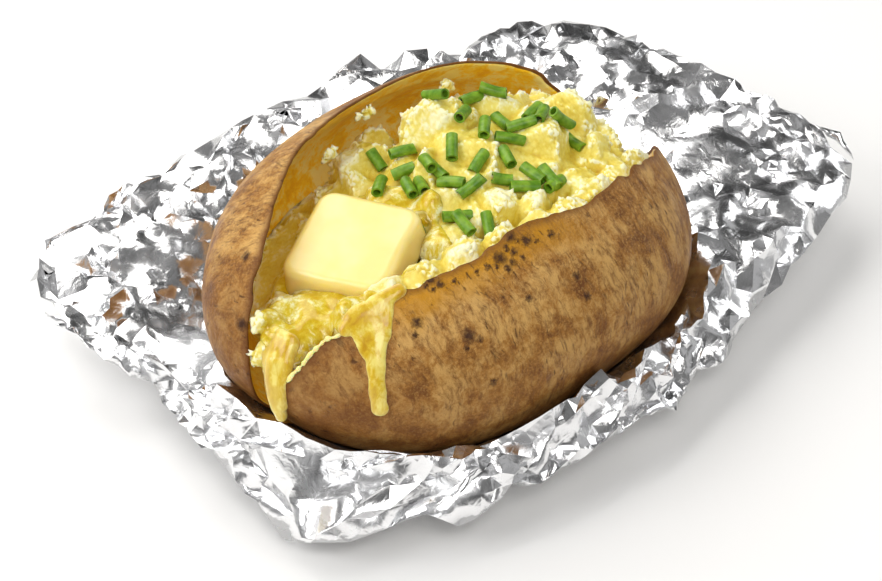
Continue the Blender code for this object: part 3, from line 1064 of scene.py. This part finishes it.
# More courses that fill the curtain between its two edges.
WEBS = (
    ((-47, -22.3, 62, 1.6), (-50, -24, 60, 2.0), (-54, -26, 56, 2.2)),
    ((-50, -20.9, 61.2, 1.4), (-53, -23, 59, 2.2), (-56, -26, 54, 2.2)),
    ((-53, -19.4, 60.2, 1.4), (-55, -21.5, 58.2, 2.0), (-57, -25, 53, 2.2)),
    ((-56, -18, 59, 1.3), (-57, -20.5, 56.8, 1.6), (-57.6, -25, 52, 1.8)),
)
NEAR_STREAMS = (
    ((-63, 0, 48.5, 3.4), (-67, -2.0, 46, 3.2), (-69, -3.4, 42, 2.6), (-70.0, -4.4, 38, 2.2),
     (-70.4, -5.6, 34, 1.9), (-70.0, -6.6, 31, 1.5)),
    ((-64, -2.2, 49.5, 3.0), (-68.5, -4.4, 46, 3.0), (-70.2, -5.2, 42, 2.6),
     (-70.9, -5.8, 38, 2.3), (-71, -6.6, 34.5, 2.0), (-70.6, -7.2, 31, 1.6)),
    ((-64, -4.5, 49.5, 2.8), (-68, -6.0, 46, 2.6), (-69.8, -6.6, 42, 2.2),
     (-70.6, -7.0, 38, 1.8), (-70.6, -7.6, 34.5, 1.5)),
)
CURTAIN_DEPTH = 0.0010
WEB_DEPTH = 0.0007
NEAR_DEPTH = 0.0017
NEAR_FACING = Vector((-0.86, -0.36, 0.36))
BEAD_STEP = 0.0010
BEAD_STRAY = 0.0009
BEAD_UNEVENNESS = 0.18
BEADS_MISSING = 0.35
MELT_VOXEL = 0.00035


def stream(course, depth, facing=None, broken=0.0):
    """Flattened beads along a course, laid on the skin, or in place and facing one way.

    A broken course has gaps, and beads of uneven width that stray to the side.
    """
    bm = bmesh.new()
    rng = random.Random(8)
    for (*start, wide), (*stop, wide_next) in zip(course, course[1:]):
        start, stop = Vector(start) * MM, Vector(stop) * MM
        steps = max(2, math.ceil((stop - start).length / BEAD_STEP))
        for step in range(steps):
            share = step / steps
            place = start.lerp(stop, share)
            uneven = 1 + BEAD_UNEVENNESS * noise.noise(place * 300)
            width = (wide + (wide_next - wide) * share) * MM * uneven
            width *= 1 + broken * rng.uniform(-0.6, 0.6)
            place += random_way(rng) * broken * BEAD_STRAY
            if rng.random() < broken * BEADS_MISSING:
                continue
            found, normal, _, _ = skin_tree.find_nearest(place)
            bead = bmesh.new()
            bmesh.ops.create_icosphere(bead, subdivisions=2, radius=1.0)
            bmesh.ops.scale(bead, verts=bead.verts, vec=(width, width, depth))
            turn = (facing or normal).to_track_quat("Z", "Y").to_matrix()
            bmesh.ops.rotate(bead, verts=bead.verts, matrix=turn)
            bmesh.ops.translate(bead, verts=bead.verts, vec=place if facing else found)
            add_to(bm, bead)
    return bm


def melted_together(name, beads, softening):
    """A piece made of beads that have run into one another."""
    obj = as_object(name, beads)
    remeshed(obj, MELT_VOXEL)
    bm = shape_of(obj)
    soften(bm, softening)
    bm.to_mesh(obj.data)
    bm.free()
    obj.data.shade_smooth()
    return obj


melt_bm = stream(CURTAIN, CURTAIN_DEPTH)
for web in WEBS:
    add_to(melt_bm, stream(web, WEB_DEPTH))
for course in NEAR_STREAMS:
    add_to(melt_bm, stream(course, NEAR_DEPTH, facing=NEAR_FACING))
melt = melted_together("butter_streams", melt_bm, 5)

# %% [markdown]
# It is amber, with milky swirls drawn out as it runs, and a painted sheen makes it paler where its
# surface turns away from the view.

# %% Melted butter finish
look = Finish("melted_butter", Roughness=0.18, Specular_IOR_Level=0.25, Subsurface_Weight=0.4,
              Subsurface_Scale=0.002, Subsurface_Radius=(1.0, 0.8, 0.3), Coat_Weight=0.2,
              Coat_Roughness=0.05)
drawn_out = look.vector("MULTIPLY", look.warped(4.0, 0.15), (1.0, 1.0, 0.35))
swirl = look.noise(0.22, 4.0, 0.65, at=drawn_out)
amber = look.ramp(swirl, (0.36, (0.48, 0.26, 0.008)), (0.50, (0.62, 0.42, 0.020)),
                  (0.62, (0.78, 0.66, 0.17)))
# Painted sheen: paler where the surface turns away from the view.
look.set("Base Color", look.mix(look.edge_on(0.35), amber, (0.85, 0.73, 0.30)))
dress(melt, look, "butter")

# %% [markdown]
# A thin line of froth clings to the skin along the front lip: one more course, but broken up.

# %% Froth along the front lip
LIP_LINE = (
    (-38, -23.2, 64.0, 0.4), (-44, -21.2, 62.5, 0.5), (-50, -19.0, 60.8, 0.6),
    (-56, -16.6, 58, 0.6), (-61, -14.2, 55, 0.7), (-65, -11.8, 51.4, 0.6),
    (-68, -9.4, 47, 0.7), (-69.6, -7.6, 43, 0.8),
)
FROTH_DEPTH = 0.0006
froth = melted_together("butter_froth", stream(LIP_LINE, FROTH_DEPTH, broken=0.5), 3)
look = Finish("butter_froth", Roughness=0.3, Base_Color=(0.85, 0.73, 0.28, 1.0),
              Subsurface_Weight=0.6, Subsurface_Scale=0.002)
dress(froth, look, "butter")

# %% [markdown]
# ## Chives
#
# Chives are hollow, so each snipped piece is a short tube. Where they fell is listed; each
# is dropped onto the flesh and laid along it.

# %% Snipped chives
# Where each lies, in millimetres along and across, and its turn in degrees.
CHIVES = (
    (2, 24, 80), (4, 16, -30), (-1, 11, -35), (18, 16, 80), (18, 8, 10), (19, 0, 35), (28, 12, -20),
    (32, 8, -60), (27, 1, 75), (21, -6, -50), (27, -6, -40), (35, -4, 5), (33, -8, 25), (35, -12, -35),
    (37, -16, 70), (9, 3, 35), (0, 4, 60), (1, 2, 80), (-4, 2, 60), (0, -4, -70), (2, -9, -15),
    (9, -6, 5), (15, -10, 60), (9, -13, -50), (11, -19, -45), (16, -18, 85), (18, -22, 70), (17, -24, 0),
    (-10, 12, 30), (-7, 5, 60), (-12, -1, -35), (-7, -11, -40), (-9, -15, 70), (-4, -20, 30),
)
CHIVE_LENGTH = 0.0070
CHIVE_RADIUS = 0.00160
CHIVE_BORE = 0.00105
CHIVE_BEND = 0.00035
CHIVE_SLANT = 0.35
CHIVE_CREASE = math.radians(45)
DROP_FROM = 0.12
chive_rng = random.Random(3)


def chive_piece(length):
    """A short hollow tube along X, a little bent and squashed."""
    bm = bmesh.new()
    for radius in (CHIVE_RADIUS, CHIVE_BORE):
        bmesh.ops.create_circle(bm, segments=20, radius=radius)
    rims = bm.edges[:]
    ends = bmesh.ops.bridge_loops(bm, edges=rims)["faces"]
    grown = bmesh.ops.extrude_face_region(bm, geom=ends)["geom"]
    top = [item for item in grown if isinstance(item, bmesh.types.BMVert)]
    bmesh.ops.translate(bm, verts=top, vec=(0, 0, length))
    sides = [edge for edge in bm.edges if rise_of(edge) > length / 2]
    bmesh.ops.subdivide_edges(bm, edges=sides, cuts=5)
    bmesh.ops.recalc_face_normals(bm, faces=bm.faces)
    bend = chive_rng.uniform(-CHIVE_BEND, CHIVE_BEND)
    squash = chive_rng.uniform(0.80, 1.0)
    slant = chive_rng.uniform(-CHIVE_SLANT, CHIVE_SLANT)
    for vert in bm.verts:
        along = vert.co.z / length - 0.5
        vert.co.z = length * along + slant * vert.co.x * (1 if along > 0.4 else 0)
        vert.co.x = vert.co.x * squash + bend * (1 - 4 * along**2)
    bmesh.ops.rotate(bm, verts=bm.verts, matrix=Matrix.Rotation(math.pi / 2, 3, "Y"))
    return bm


chives_bm = bmesh.new()
for x, y, turn in CHIVES:
    above = Vector((x * MM, y * MM, DROP_FROM))
    found, normal, _, _ = flesh_tree.ray_cast(above, Vector((0, 0, -1)))
    length = CHIVE_LENGTH * chive_rng.uniform(0.8, 1.15)
    piece = chive_piece(length)
    heading = Matrix.Rotation(math.radians(turn), 3, "Z") @ Vector((1, 0, 0))
    blend = (normal + Vector((0, 0, 0.6))).normalized()
    along = (heading - blend * heading.dot(blend)).normalized()
    across = blend.cross(along)
    pose = Matrix((along, across, blend)).transposed()
    bmesh.ops.rotate(piece, verts=piece.verts, matrix=pose)
    bmesh.ops.translate(piece, verts=piece.verts, vec=found + blend * CHIVE_RADIUS * 0.85)
    add_to(chives_bm, piece)
chives = as_object("snipped_chives", chives_bm)
chives.data.shade_smooth()
chives.data.set_sharp_from_angle(angle=CHIVE_CREASE)
look = Finish("chive_green", Roughness=0.38, Specular_IOR_Level=0.35,
              Subsurface_Weight=0.15, Subsurface_Scale=0.001)
green = look.noise(0.35, 3.0, 0.6)
leaf = look.ramp(green, (0.35, (0.075, 0.19, 0.004)), (0.65, (0.21, 0.37, 0.025)))
look.set("Base Color", leaf)
dress(chives, look, "potato_flesh")
print(len(CHIVES), "chives lie on the heap")
